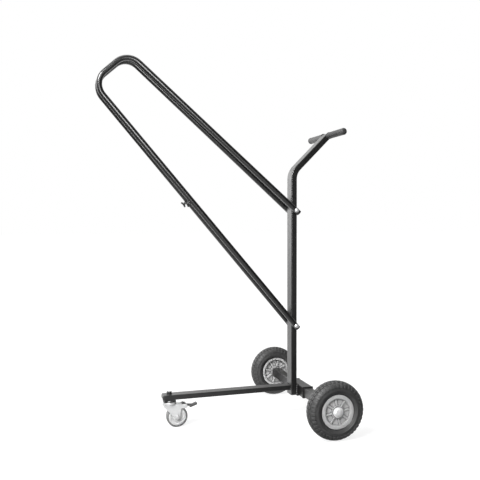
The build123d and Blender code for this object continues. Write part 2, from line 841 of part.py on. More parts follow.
def all_pieces():
    pieces = {
        "post_tube": [post_tube()],
        "post_foot_plug": [post_foot_plug()],
        "handle_bar": [handle_bar()],
        "base_beam": [base_beam()],
        "beam_end_plug": [beam_end_plug()],
        "axle_mount_plate": [axle_mount_plate()],
        "axle_center_tube": [axle_center_tube()],
        "arm_fixing_screws": with_near([arm_screw()]),
        "axle_washers": with_near(axle_washer_pair()),
        "rim_near": [near_of(half) for half in rim(rim_near_turn)],
        "rim_far": rim(rim_far_turn),
        "rail_end_plugs": with_near(rail_plugs()),
        "rail_saddles": with_near(rail_saddles()),
        "rail_bolts": [rail_bolt(upper_rail_z), rail_bolt(lower_rail_z)],
        "rail_bolt_washers": with_near(rail_washers()),
        "rail_bolt_nuts": [rail_bolt_nut(upper_rail_z), rail_bolt_nut(lower_rail_z)],
        "clamp_bosses": with_near([clamp_boss()]),
        "caster_riser": [caster_riser()],
        "kingpin": [kingpin()],
        "kingpin_washer": [kingpin_washer()],
        "kingpin_nut": [kingpin_nut()],
        "swivel_cup": [swivel_cup()],
        "swivel_balls": swivel_balls(),
        "caster_fork": [caster_fork()],
        "caster_axle_bolt": [caster_axle_bolt()],
        "caster_axle_nut": [caster_axle_nut()],
        "caster_wheel_bush": [caster_wheel_bush()],
        "caster_wheel_core": [caster_wheel_core()],
        "caster_tread": [caster_tread()],
        "brake_lever": [brake_lever()],
        "brake_pedal_pad": [brake_pedal_pad()],
        "brake_pivot_pin": [brake_pivot_pin()],
    }
    paired = {
        "grip": grip(), "arm_bush": arm_bush(), "axle_arm": axle_arm(), "arm_end_block": arm_end_block(),
        "stub_axle": stub_axle(), "axle_cap": axle_cap(), "tyre": tyre(), "inner_tube": inner_tube(),
        "hub_bearing": hub_bearing(), "rail_loop": rail_loop(), "lower_rail": lower_rail(),
        "rail_spigot": rail_spigot(), "wing_screw": wing_screw(),
    }
    for name, piece in paired.items():
        pieces.update(both_sides(name, piece))
    return pieces


def loop_front_x():
    corner = Vector(*lower_point(lower_rail_corner))
    up = (Vector(*upper_point(upper_rail_corner)) - corner).normalized()
    down = (Vector(*lower_point(0)) - corner).normalized()
    half_turn = math.radians(up.get_angle(down)) / 2
    middle = corner + (up + down).normalized() * (loop_bend / math.sin(half_turn))
    toe = math.radians(rail_toe_in)
    return (middle.X - loop_bend - rail_radius) * math.cos(toe)


def main():
    os.makedirs("parts", exist_ok=True)
    middle_x = (loop_front_x() + handle_x + grip_radius) / 2
    to_middle = Pos(-middle_x, 0, 0)
    for name, solids in all_pieces().items():
        moved = [to_middle * solid for solid in solids]
        written = moved[0] if len(moved) == 1 else Compound(children=moved)
        export_step(written, f"parts/{name}.step")
    print("middle of the box from the post", round(middle_x, 3))
    print("screw seat", lower_point(screw_distance), "handle height", handle_z)


main()
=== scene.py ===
import bmesh
import bpy
import json
import math
from mathutils import Matrix, Vector


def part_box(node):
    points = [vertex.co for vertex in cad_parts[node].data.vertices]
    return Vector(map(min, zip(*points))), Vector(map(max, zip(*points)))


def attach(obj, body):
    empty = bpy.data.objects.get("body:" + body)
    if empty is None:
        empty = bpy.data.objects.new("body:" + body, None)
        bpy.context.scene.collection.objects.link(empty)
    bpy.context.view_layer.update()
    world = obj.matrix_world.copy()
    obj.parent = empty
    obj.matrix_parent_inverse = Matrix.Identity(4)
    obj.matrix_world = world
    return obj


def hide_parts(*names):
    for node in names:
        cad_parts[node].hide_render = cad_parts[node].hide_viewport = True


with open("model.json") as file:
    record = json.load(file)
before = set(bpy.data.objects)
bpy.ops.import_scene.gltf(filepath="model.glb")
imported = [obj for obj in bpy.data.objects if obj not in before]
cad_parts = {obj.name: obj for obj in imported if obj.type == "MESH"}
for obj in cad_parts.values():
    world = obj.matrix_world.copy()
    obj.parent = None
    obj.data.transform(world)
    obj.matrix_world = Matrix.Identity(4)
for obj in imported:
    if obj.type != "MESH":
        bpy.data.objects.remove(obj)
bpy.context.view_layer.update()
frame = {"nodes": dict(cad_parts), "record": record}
nodes = frame["nodes"]
print("cart frame loaded,", len(nodes), "nodes")


def boxMiddle(node):
    low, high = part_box(node)
    return (low + high) / 2


# shader helpers
def addNode(tree, kind, **settings):
    node = tree.nodes.new(kind)
    for key, value in settings.items():
        setattr(node, key, value)
    return node


# another node's output is linked to the socket, a plain value is set on it
def feed(socket, value):
    if isinstance(value, bpy.types.NodeSocket):
        socket.id_data.links.new(value, socket)
    else:
        socket.default_value = value


def setInputs(node, **values):
    for key, value in values.items():
        feed(node.inputs[key.replace("_", " ")], value)
    return node


def newGroup(name, inputs, outputs):
    group = bpy.data.node_groups.new(name, "ShaderNodeTree")
    for label, value in inputs.items():
        kind = "NodeSocketVector" if isinstance(value, tuple) else "NodeSocketFloat"
        socket = group.interface.new_socket(label, in_out="INPUT", socket_type=kind)
        socket.default_value = value
    for label in outputs:
        group.interface.new_socket(label, in_out="OUTPUT", socket_type="NodeSocketFloat")
    given = addNode(group, "NodeGroupInput").outputs
    sink = addNode(group, "NodeGroupOutput")
    return group, given, sink


def placeGroup(tree, group, **values):
    return setInputs(addNode(tree, "ShaderNodeGroup", node_tree=group), **values)


def mathNode(tree, operation, first, second, clamp=False):
    node = addNode(tree, "ShaderNodeMath", operation=operation, use_clamp=clamp)
    feed(node.inputs[0], first)
    feed(node.inputs[1], second)
    return node.outputs["Value"]


def vectorNode(tree, operation, *values):
    node = addNode(tree, "ShaderNodeVectorMath", operation=operation)
    for socket, value in zip(node.inputs, values):
        feed(socket, value)
    return node.outputs


def noiseNode(tree, vector, scale, detail=2.0, roughness=0.5):
    node = addNode(tree, "ShaderNodeTexNoise")
    setInputs(node, Vector=vector, Scale=scale, Detail=detail, Roughness=roughness)
    return node.outputs["Fac"]


noiseLow, noiseHigh = 0.3, 0.7  # noise seldom leaves this range


def spread(tree, value, low, high):
    node = addNode(tree, "ShaderNodeMapRange")
    setInputs(node, Value=value, From_Min=noiseLow, From_Max=noiseHigh, To_Min=low, To_Max=high)
    return node.outputs["Result"]


def objectPlace(tree):
    return addNode(tree, "ShaderNodeTexCoord").outputs["Object"]


def trueNormal(tree):
    return addNode(tree, "ShaderNodeNewGeometry").outputs["Normal"]


def splitAxes(tree, vector):
    return setInputs(addNode(tree, "ShaderNodeSeparateXYZ"), Vector=vector).outputs


# ends a wear or painted-shade group: its mask is the value times the group's own Amount
def sendMask(group, given, sink, value):
    setInputs(sink, Mask=mathNode(group, "MULTIPLY", value, given["Amount"], clamp=True))


# the skin of a sprayed or moulded surface: fine bumps over slow waves, and slow patches for colour and gloss
def buildSkin():
    group, given, sink = newGroup(
        "surfaceSkin", {"Fine Scale": 900.0, "Slow Scale": 60.0, "Slow Share": 0.3}, ["Height", "Patches"])
    place = objectPlace(group)
    fine = noiseNode(group, place, given["Fine Scale"], detail=3.0, roughness=0.55)
    slow = noiseNode(group, place, given["Slow Scale"])
    waves = mathNode(group, "MULTIPLY", slow, given["Slow Share"])
    setInputs(sink, Height=mathNode(group, "ADD", fine, waves), Patches=slow)
    return group


rubGain = 6.0  # an edge is fully rubbed well before its normal has turned right over


# rubbed edges: where the rounded normal leaves the true one, broken up so that the rub isn't even
def buildEdgeRub():
    group, given, sink = newGroup(
        "edgeRub", {"Width": 0.0012, "Breakup Scale": 180.0, "Amount": 0.5}, ["Mask"])
    rounded = setInputs(addNode(group, "ShaderNodeBevel", samples=4), Radius=given["Width"])
    together = vectorNode(group, "DOT_PRODUCT", rounded.outputs["Normal"], trueNormal(group))
    apart = mathNode(group, "SUBTRACT", 1.0, together["Value"], clamp=True)
    worn = mathNode(group, "MULTIPLY", apart, rubGain, clamp=True)
    patchy = noiseNode(group, objectPlace(group), given["Breakup Scale"], detail=3.0, roughness=0.6)
    sendMask(group, given, sink, mathNode(group, "MULTIPLY", worn, patchy))
    return group


# dust that settles on faces that look up
def buildDust():
    group, given, sink = newGroup("settledDust", {"Scale": 45.0, "Amount": 0.2}, ["Mask"])
    upwards = mathNode(group, "MULTIPLY", splitAxes(group, trueNormal(group))["Z"], 1.0, clamp=True)
    patchy = noiseNode(group, objectPlace(group), given["Scale"], detail=5.0, roughness=0.65)
    lying = mathNode(group, "MULTIPLY", mathNode(group, "MULTIPLY", upwards, upwards), patchy)
    sendMask(group, given, sink, lying)
    return group


# the flat of a wheel's disc: full inside a radius round an axle that runs along Y, nothing outside it
def buildDiscMask():
    group, given, sink = newGroup(
        "discMask", {"Axle": (0.0, 0.0, 0.0), "Radius": 0.02, "Softness": 0.001}, ["Mask"])
    flat = vectorNode(group, "MULTIPLY", objectPlace(group), (1.0, 0.0, 1.0))  # the axle's own way left out
    away = vectorNode(group, "DISTANCE", flat["Vector"], given["Axle"])
    left = mathNode(group, "SUBTRACT", given["Radius"], away["Value"])
    setInputs(sink, Mask=mathNode(group, "DIVIDE", left, given["Softness"], clamp=True))
    return group


thinnestPaintedShade = 0.6  # share of the painted corner shade that is left where it is broken up most


# painted shade in corners, where nearby faces close a point in: it darkens the rim's pocket edges where their
# shadows would fall
def buildPaintedCornerShade():
    group, given, sink = newGroup(
        "paintedCornerShade", {"Reach": 0.004, "Start": 0.85, "Full": 0.5, "Breakup Scale": 300.0, "Amount": 0.8},
        ["Mask"])
    closed = setInputs(addNode(group, "ShaderNodeAmbientOcclusion", samples=8), Distance=given["Reach"])
    share = addNode(group, "ShaderNodeMapRange")
    setInputs(share, Value=closed.outputs["AO"], From_Min=given["Start"], From_Max=given["Full"])
    noise = noiseNode(group, objectPlace(group), given["Breakup Scale"], detail=3.0, roughness=0.6)
    patchy = spread(group, noise, thinnestPaintedShade, 1.0)
    sendMask(group, given, sink, mathNode(group, "MULTIPLY", share.outputs["Result"], patchy))
    return group


surfaceSkin = buildSkin()
edgeRub = buildEdgeRub()
paintedCornerShade = buildPaintedCornerShade()
settledDust = buildDust()
discMask = buildDiscMask()

mixShare, mixFirst, mixSecond, mixResult = 0, 6, 7, 2  # the colour sockets of a Mix node


def mixColours(tree, share, first, second):
    node = addNode(tree, "ShaderNodeMix", data_type="RGBA")
    for index, value in ((mixShare, share), (mixFirst, first), (mixSecond, second)):
        feed(node.inputs[index], value)
    return node.outputs[mixResult]


def skinBump(tree, height, strength, distance):
    bump = setInputs(addNode(tree, "ShaderNodeBump"), Height=height, Strength=strength, Distance=distance)
    return bump.outputs["Normal"]


def grey(value, tint=0.0):
    return (value, value, value * (1.0 + tint), 1.0)


# a sprayed coat doesn't mirror the room at its very edge, so its gloss gives way there
def fadeEdgeShine(tree, gloss, start):
    facing = addNode(tree, "ShaderNodeLayerWeight").outputs["Facing"]
    share = setInputs(addNode(tree, "ShaderNodeMapRange"), Value=facing, From_Min=start)
    return mathNode(tree, "MAXIMUM", gloss, share.outputs["Result"])


# wear and painted shade over the plain tone, in this order: a look's own key, its group, and the key of its
# tone
wearAndShadeLayers = (
    ("paintedShade", paintedCornerShade, "paintedShadeTone"), ("disc", discMask, "discTone"),
    ("rub", edgeRub, "rubbed"), ("dust", settledDust, "dustTone"),
)


# the finish of every surface: patchy tone and gloss, wear and painted shade where the look has it, and skin
# bumps
def skinnedMaterial(name, look):
    material = bpy.data.materials.new(name)
    material.use_nodes = True
    tree = material.node_tree
    principled = setInputs(tree.nodes["Principled BSDF"], **look["shader"])
    skin = placeGroup(tree, surfaceSkin, **look["skin"]).outputs
    tone = mixColours(tree, spread(tree, skin["Patches"], 0.0, 1.0), look["dark"], look["light"])
    for layer, group, layerTone in wearAndShadeLayers:
        if layer in look:
            wearAndShade = placeGroup(tree, group, **look[layer])
            tone = mixColours(tree, wearAndShade.outputs["Mask"], tone, look[layerTone])
    gloss = spread(tree, skin["Patches"], *look["gloss"])
    if "edgeFade" in look:
        gloss = fadeEdgeShine(tree, gloss, look["edgeFade"])
    normal = skinBump(tree, skin["Height"], *look["bump"])
    setInputs(principled, Base_Color=tone, Roughness=gloss, Normal=normal)
    return material


def axleOf(node):
    middle = boxMiddle(node)
    return (middle.x, 0.0, middle.z)


dustTone = grey(0.32, -0.06)

# a look holds shader values, skin scales, two tones, a gloss range, bump strength and height, and its wear
# and painted shade
paintLook = {
    "shader": {"Specular_IOR_Level": 0.5},
    "skin": {"Fine_Scale": 700.0, "Slow_Scale": 90.0, "Slow_Share": 0.5},
    "dark": grey(0.0055), "light": grey(0.0075), "gloss": (0.32, 0.40), "bump": (0.02, 0.0002),
    "edgeFade": 0.84,
    "rub": {"Width": 0.0012, "Amount": 0.25}, "rubbed": grey(0.09),
    "dust": {"Scale": 50.0, "Amount": 0.08}, "dustTone": dustTone,
}
railLook = {
    "shader": {"Specular_IOR_Level": 0.5},
    "skin": {"Fine_Scale": 900.0, "Slow_Scale": 70.0, "Slow_Share": 0.6},
    "dark": grey(0.0055), "light": grey(0.0075), "gloss": (0.29, 0.34), "bump": (0.01, 0.0002),
    "edgeFade": 0.78,
    "dust": {"Scale": 50.0, "Amount": 0.05}, "dustTone": dustTone,
}
blackPlasticLook = {
    "shader": {"Specular_IOR_Level": 0.45},
    "skin": {"Fine_Scale": 1500.0, "Slow_Scale": 120.0, "Slow_Share": 0.2},
    "dark": grey(0.009), "light": grey(0.014), "gloss": (0.42, 0.52), "bump": (0.3, 0.0003),
}
gripLook = {
    "shader": {"Specular_IOR_Level": 0.4},
    "skin": {"Fine_Scale": 1300.0, "Slow_Scale": 80.0, "Slow_Share": 0.3},
    "dark": grey(0.022), "light": grey(0.03), "gloss": (0.52, 0.62), "bump": (0.35, 0.0004),
    "dust": {"Scale": 60.0, "Amount": 0.06}, "dustTone": dustTone,
}
tyreLook = {
    "shader": {"Specular_IOR_Level": 0.35},
    "skin": {"Fine_Scale": 800.0, "Slow_Scale": 60.0, "Slow_Share": 0.4},
    "dark": grey(0.036), "light": grey(0.05), "gloss": (0.44, 0.54), "bump": (0.4, 0.0005),
}
rimLook = {
    "shader": {"Specular_IOR_Level": 0.45},
    "skin": {"Fine_Scale": 1400.0, "Slow_Scale": 70.0, "Slow_Share": 0.4},
    "dark": grey(0.50), "light": grey(0.56), "gloss": (0.38, 0.48), "bump": (0.2, 0.0003),
    # the dark pocket edges are painted shade from the corner mask, standing in for the pockets' shadows
    "paintedShade": {"Reach": 0.005, "Start": 0.96, "Full": 0.76, "Amount": 0.95}, "paintedShadeTone": grey(0.02),
}
casterTreadLook = {
    "shader": {"Specular_IOR_Level": 0.4},
    "skin": {"Fine_Scale": 900.0, "Slow_Scale": 90.0, "Slow_Share": 0.3},
    "dark": grey(0.15), "light": grey(0.19), "gloss": (0.5, 0.6), "bump": (0.3, 0.0004),
}
casterCoreLook = {
    "shader": {"Specular_IOR_Level": 0.45, "Subsurface_Weight": 1.0, "Subsurface_Radius": (1.0, 1.0, 1.0),
               "Subsurface_Scale": 0.008},  # pale plastic lets some light through, which softens thin shadows
    "skin": {"Fine_Scale": 1500.0, "Slow_Scale": 90.0, "Slow_Share": 0.3},
    "dark": grey(0.74), "light": grey(0.79), "gloss": (0.35, 0.45), "bump": (0.2, 0.0003),
    "disc": {"Axle": axleOf("caster_wheel_core"), "Radius": 0.0252}, "discTone": grey(0.66),
}
pedalLook = {
    "shader": {"Specular_IOR_Level": 0.45},
    "skin": {"Fine_Scale": 1400.0, "Slow_Scale": 120.0, "Slow_Share": 0.3},
    "dark": grey(0.055), "light": grey(0.075), "gloss": (0.4, 0.5), "bump": (0.3, 0.0003),
}
zincLook = {
    "shader": {"Metallic": 1.0},
    "skin": {"Fine_Scale": 420.0, "Slow_Scale": 110.0, "Slow_Share": 0.6},
    "dark": (0.51, 0.515, 0.52, 1.0), "light": grey(0.57), "gloss": (0.46, 0.56),
    "bump": (0.1, 0.0003), "rub": {"Width": 0.0008, "Amount": 0.3}, "rubbed": grey(0.62),
}
# a rougher copy of the zinc finish for the caster's axle bolt and nut; its darker tones are painted shade
# that keeps their heads from shining bright
shadedBoltZincLook = {
    **zincLook,
    "dark": grey(0.37), "light": grey(0.42), "gloss": (0.54, 0.62), "rubbed": grey(0.46),
}
steelLook = {
    "shader": {"Metallic": 1.0},
    "skin": {"Fine_Scale": 500.0, "Slow_Scale": 130.0, "Slow_Share": 0.4},
    "dark": grey(0.48), "light": grey(0.6), "gloss": (0.28, 0.4), "bump": (0.15, 0.0002),
}
darkSteelLook = {
    "shader": {"Specular_IOR_Level": 0.6},
    "skin": {"Fine_Scale": 600.0, "Slow_Scale": 150.0, "Slow_Share": 0.4},
    "dark": grey(0.02), "light": grey(0.032), "gloss": (0.34, 0.44), "bump": (0.1, 0.0002),
    "rub": {"Width": 0.0008, "Amount": 0.4}, "rubbed": grey(0.16),
}
capLook = {
    "shader": {"Metallic": 0.25},
    "skin": {"Fine_Scale": 600.0, "Slow_Scale": 150.0, "Slow_Share": 0.5},
    "dark": grey(0.85), "light": grey(0.9), "gloss": (0.4, 0.48), "bump": (0.08, 0.0002),
}

slotLooks = {
    "black_paint": ("blackPowderCoat", paintLook),
    "rail_paint": ("satinRailCoat", railLook),
    "zinc_steel": ("brightZinc", zincLook),
    "dark_steel": ("blackenedSteel", darkSteelLook),
    "plain_steel": ("turnedSteel", steelLook),
    "cap_chrome": ("platedCap", capLook),
    "black_plastic": ("blackMouldedPlastic", blackPlasticLook),
    "grip_rubber": ("softGripRubber", gripLook),
    "tyre_rubber": ("tyreRubber", tyreLook),
    "tube_rubber": ("innerTubeRubber", tyreLook),
    "rim_plastic": ("greyRimPlastic", rimLook),
    "caster_tread_rubber": ("greyCasterTread", casterTreadLook),
    "caster_core_plastic": ("paleCasterPlastic", casterCoreLook),
    "pedal_plastic": ("darkPedalPlastic", pedalLook),
}
finishes = {slot: skinnedMaterial(*named) for slot, named in slotLooks.items()}
# the darker zinc copy: painted shade on the caster's axle bolt and nut
shadedDullZinc = skinnedMaterial("shadedDullZinc", shadedBoltZincLook)
for subpart in frame["record"]["subparts"]:
    mesh = nodes[subpart["node"]].data
    mesh.materials.clear()
    mesh.materials.append(finishes[subpart["material_slot"]])
print("finishes on", len(nodes), "nodes")

# mesh helpers: profiles are (radius, side) points, spun round the Y axis
mm = 0.001
mergeDistance = 1e-6
cutDistance = 1e-7
smoothDegrees = 35.0  # edges that turn less than this are shaded smooth


# points on the circle through three points, from the first to the last
def threePointArc(start, middle, end, steps):
    (ax, ay), (bx, by), (cx, cy) = start, middle, end
    twice = 2 * (ax * (by - cy) + bx * (cy - ay) + cx * (ay - by))
    aSquare, bSquare, cSquare = ax**2 + ay**2, bx**2 + by**2, cx**2 + cy**2
    centreX = (aSquare * (by - cy) + bSquare * (cy - ay) + cSquare * (ay - by)) / twice
    centreY = (aSquare * (cx - bx) + bSquare * (ax - cx) + cSquare * (bx - ax)) / twice

    def turnTo(x, y):
        return math.atan2(y - centreY, x - centreX)

    reach = math.hypot(ax - centreX, ay - centreY)
    first = turnTo(ax, ay)
    sweep = (turnTo(cx, cy) - first) % math.tau
    if (turnTo(bx, by) - first) % math.tau > sweep:
        sweep -= math.tau
    turns = [first + sweep * index / steps for index in range(steps + 1)]
    return [(centreX + reach * math.cos(turn), centreY + reach * math.sin(turn)) for turn in turns]


def addProfile(bm, points, closed=False):
    verts = [bm.verts.new((radius * mm, side * mm, 0.0)) for radius, side in points]
    ring = verts + verts[:1] if closed else verts
    edges = [bm.edges.new(pair) for pair in zip(ring, ring[1:])]
    return verts + edges


def spinProfile(bm, points, steps, closed=False):
    geom = addProfile(bm, points, closed)
    bmesh.ops.spin(bm, geom=geom, cent=(0, 0, 0), axis=(0, 1, 0), dvec=(0, 0, 0), angle=math.tau,
                   steps=steps, use_merge=True, use_duplicate=False)
    bmesh.ops.remove_doubles(bm, verts=bm.verts, dist=mergeDistance)


def sharpEdges(bm, degrees, keep=None):
    limit = math.radians(degrees)
    return [edge for edge in bm.edges if len(edge.link_faces) == 2 and edge.calc_face_angle(0.0) > limit
            and (keep is None or keep(edge))]


def roundEdges(bm, edges, offset, segments):
    bmesh.ops.bevel(bm, geom=edges, offset=offset * mm, offset_type="OFFSET", segments=segments, profile=0.5,
                    affect="EDGES", material=-1, clamp_overlap=True)


def meshFrom(bm, name):
    mesh = bpy.data.meshes.new(name)
    bm.to_mesh(mesh)
    bm.free()
    return mesh


def addObject(name, data):
    added = bpy.data.objects.new(name, data)
    bpy.context.scene.collection.objects.link(added)
    return added


def makePiece(name, bm, slot, body, *replaced, finish=None):
    bmesh.ops.recalc_face_normals(bm, faces=bm.faces)
    mesh = meshFrom(bm, name)
    mesh.shade_smooth()
    mesh.set_sharp_from_angle(angle=math.radians(smoothDegrees))
    mesh.materials.append(finish or finishes[slot])
    piece = addObject(name, mesh)
    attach(piece, body)
    if replaced:
        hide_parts(*replaced)


# puts a wheel-side piece, made with its outside towards +Y, on the near or the far side
def toSide(bm, side, centre):
    if side == "near":
        bmesh.ops.scale(bm, vec=(1, -1, 1), verts=bm.verts)
    bmesh.ops.translate(bm, vec=centre, verts=bm.verts)


# outline round a ring of circles (x, z, radius), given anticlockwise
def beltOutline(circles, stepDegrees=12.0):
    def touch(one, two):
        along = math.atan2(two[1] - one[1], two[0] - one[0])
        return along - math.acos((one[2] - two[2]) / math.dist(one[:2], two[:2]))

    points = []
    for index, (x, z, radius) in enumerate(circles):
        first = touch(circles[index - 1], circles[index])
        last = touch(circles[index], circles[(index + 1) % len(circles)])
        sweep = (last - first) % math.tau
        steps = math.ceil(math.degrees(sweep) / stepDegrees)
        turns = [first + sweep * step / steps for step in range(steps + 1)]
        points += [(x + radius * math.cos(turn), z + radius * math.sin(turn)) for turn in turns]
    return points


def addPlate(bm, outline, halfWidth):
    face = bm.faces.new([bm.verts.new((x * mm, -halfWidth * mm, z * mm)) for x, z in outline])
    made = bmesh.ops.extrude_face_region(bm, geom=[face])["geom"]
    moved = [item for item in made if isinstance(item, bmesh.types.BMVert)]
    bmesh.ops.translate(bm, verts=moved, vec=(0, 2 * halfWidth * mm, 0))
    bmesh.ops.recalc_face_normals(bm, faces=bm.faces)


# shapes one part in a bmesh of its own and adds it, moved to its place, to the piece
def addPart(bm, place, shape, *values):
    part = bmesh.new()
    shape(part, *values)
    bmesh.ops.transform(part, matrix=place, verts=part.verts)
    mesh = meshFrom(part, "part")
    bm.from_mesh(mesh)
    bpy.data.meshes.remove(mesh)


def at(x, y, z):
    return Matrix.Translation((x, y, z))


spinUpright = Matrix.Rotation(math.radians(90.0), 4, "X")


# hexagon heads and nuts
hexHead = {"steps": 72, "flatShare": 0.95, "chamferDegrees": 30.0, "chamferSteps": 4}
halfFlat = math.pi / 6  # from the middle of a flat to its corner


# turns a blank and holds it inside a hexagon, which leaves flats with rounded chamfer lines
def spinHex(bm, points, across, closed=False):
    spinProfile(bm, points, hexHead["steps"], closed)
    for vert in bm.verts:
        reach = math.hypot(vert.co.x, vert.co.z)
        turn = math.atan2(vert.co.z, vert.co.x)
        fromFlat = (turn + halfFlat) % (2 * halfFlat) - halfFlat
        limit = across / 2 * mm / math.cos(fromFlat)
        if reach > limit:
            vert.co.x *= limit / reach
            vert.co.z *= limit / reach


# from just inside the flats out to the corners; way is 1 at the upper end and -1 at the lower
def hexChamfer(across, height, way):
    flat = hexHead["flatShare"] * across / 2
    corner = across / 2 / math.cos(halfFlat)
    rise = (corner - flat) * math.tan(math.radians(hexHead["chamferDegrees"]))
    steps = hexHead["chamferSteps"]
    shares = [step / steps for step in range(steps + 1)]
    return [(flat + (corner - flat) * share, height - way * rise * share) for share in shares]


def hexSides(across, height):
    return hexChamfer(across, 0.0, -1) + hexChamfer(across, height, 1)[::-1]


def addNut(bm, across, height, bore):
    spinHex(bm, [(bore, 0.0)] + hexSides(across, height) + [(bore, height)], across, closed=True)


# rear tyres: groove floor spun first, then tread blocks and shoulder lugs raised from it
tyre = {
    "crown": 97.0, "crownArc": 53.0, "rows": (0.0, 4.2, 6.4, 13.4, 15.6), "shoulder": (89.4, 22.6),
    "lugEnd": (82.0, 25.9), "lugSteps": 5, "widest": (75.0, 27.4), "ribOuter": 72.4, "ribInner": 70.4,
    "ribSide": 27.9, "underRib": (70.0, 27.0), "lowWall": (64.5, 24.8), "beadTop": (58.6, 20.4),
    "wallSteps": 5, "beadFoot": (53.0, 20.0), "footInner": (53.0, 14.0), "innerWall": (58.0, 14.0),
    "innerWidest": (76.0, 21.5), "innerShoulder": (90.1, 17.8), "innerCrown": 94.0, "liningSteps": 8,
    "blocks": 40, "stepsPerBlock": 6, "grooveSteps": 1, "notchSteps": 2, "slantSteps": 4,
    "raise": 2.8, "draft": 0.45, "edgeRound": 0.35, "sharp": 38.0,
}


def crownRadius(side):
    centre = tyre["crown"] - tyre["crownArc"]
    return centre + math.sqrt(tyre["crownArc"]**2 - side**2)


def tyreOuterHalf():
    points = [(crownRadius(side), side) for side in tyre["rows"]]
    points += threePointArc(points[-1], tyre["shoulder"], tyre["lugEnd"], tyre["lugSteps"])[1:]
    ribTop = [(tyre["ribOuter"], tyre["ribSide"]), (tyre["ribInner"], tyre["ribSide"])]
    points += [tyre["widest"]] + ribTop + [tyre["underRib"]]
    points += threePointArc(tyre["underRib"], tyre["lowWall"], tyre["beadTop"], tyre["wallSteps"])[1:]
    return points + [tyre["beadFoot"]]


def mirrored(points):
    return [(radius, -side) for radius, side in reversed(points)]


def isTreadBlock(face):
    centre = face.calc_center_median() / mm
    side, radius = abs(centre.y), math.hypot(centre.x, centre.z)
    middleEnd, betweenStart, betweenEnd, shoulderStart = tyre["rows"][1:]
    inMiddle = side < middleEnd
    inBetween = betweenStart < side < betweenEnd
    onShoulder = side > shoulderStart and radius > tyre["lugEnd"][0]
    if not (inMiddle or inBetween or onShoulder):
        return False
    steps = tyre["stepsPerBlock"]
    count = math.atan2(centre.z, centre.x) / math.tau * tyre["blocks"] * steps
    shift = steps // 2 if inBetween else 0
    gap = tyre["notchSteps"] if onShoulder else tyre["grooveSteps"]
    return math.floor(count + shift) % steps >= gap


# slants the blocks: the tread turns with the distance from its middle, up to the shoulder
def slantTread(bm):
    stepTurn = math.tau / tyre["blocks"] / tyre["stepsPerBlock"]
    edge = tyre["rows"][-1]
    for vert in bm.verts:
        share = min(abs(vert.co.y) / mm, edge) / edge
        vert.co = Matrix.Rotation(share * tyre["slantSteps"] * stepTurn, 3, "Y") @ vert.co


def tyreLining():
    steps = tyre["liningSteps"]
    wall = threePointArc(tyre["innerShoulder"], tyre["innerWidest"], tyre["innerWall"], steps)
    wall += [tyre["footInner"], tyre["beadFoot"]]
    radius, side = tyre["innerShoulder"]
    crown = threePointArc((radius, -side), (tyre["innerCrown"], 0.0), (radius, side), steps)
    return mirrored(wall) + crown[1:-1] + wall


def makeTyre(side):
    bm = bmesh.new()
    half = tyreOuterHalf()
    steps = tyre["blocks"] * tyre["stepsPerBlock"]
    spinProfile(bm, mirrored(half) + half[1:], steps)
    bmesh.ops.recalc_face_normals(bm, faces=bm.faces)
    blocks = [face for face in bm.faces if isTreadBlock(face)]
    bmesh.ops.inset_region(bm, faces=blocks, thickness=tyre["draft"] * mm, depth=tyre["raise"] * mm,
                           use_boundary=True, use_even_offset=True)
    roundEdges(bm, sharpEdges(bm, tyre["sharp"]), tyre["edgeRound"], segments=1)
    slantTread(bm)
    spinProfile(bm, tyreLining(), steps)
    node = "tyre_" + side
    toSide(bm, side, boxMiddle(node))
    makePiece(side + "Tyre", bm, "tyre_rubber", "wheel_" + side, node)


# rims: one turned profile, with pockets sunk between straight ribs on both sides of the disc
rim = {
    "bore": 14.03, "hub": 20.0, "pocketInner": 22.5, "lipSide": 24.0, "flange": 57.7, "beadSide": 20.3,
    "seat": 52.97, "steps": 96, "ribs": 8, "ribWidth": 6.0, "turn": {"near": 9.5, "far": 31.0},
    "draft": 0.5, "pocketRound": 0.9, "lipRound": 1.5, "sharp": 40.0, "pocketMargin": 0.6, "levelMargin": 0.1,
    "tabTurn": -38.0, "tabSpan": 13.0, "tabReach": 1.8, "tabBand": 3.0, "tabSteepness": 2.0,
    "sides": {  # 1 is the outer side, -1 the inner one
        1: {"hubEnd": 23.0, "disc": 22.5, "pocket": 43.0, "lipFoot": 45.0, "lipTop": 45.6, "depth": 2.3},
        -1: {"hubEnd": 26.5, "disc": 20.0, "pocket": 47.0, "lipFoot": 49.0, "lipTop": 49.6, "depth": 6.0},
    },
}


def rimHalf(way):
    shape = rim["sides"][way]
    hubEnd, disc, lip, bead = shape["hubEnd"], shape["disc"], rim["lipSide"], rim["beadSide"]
    points = [(rim["bore"], hubEnd), (rim["hub"], hubEnd), (rim["hub"], disc), (rim["pocketInner"], disc),
              (shape["pocket"], disc), (shape["lipFoot"], disc), (shape["lipTop"], lip),
              (rim["flange"], lip), (rim["flange"], bead), (rim["seat"], bead)]
    return [(radius, way * side) for radius, side in points]


def pocketZone(face, way):
    centre = face.calc_center_median() / mm
    radius = math.hypot(centre.x, centre.z)
    shape = rim["sides"][way]
    level = abs(way * centre.y - shape["disc"]) < rim["levelMargin"]
    return level and rim["pocketInner"] < radius < shape["pocket"]


# the direction across each pair of opposite ribs
def ribLines(firstTurn):
    for index in range(rim["ribs"] // 2):
        turn = math.radians(firstTurn + index * 360.0 / rim["ribs"])
        yield Vector((-math.sin(turn), 0.0, math.cos(turn)))


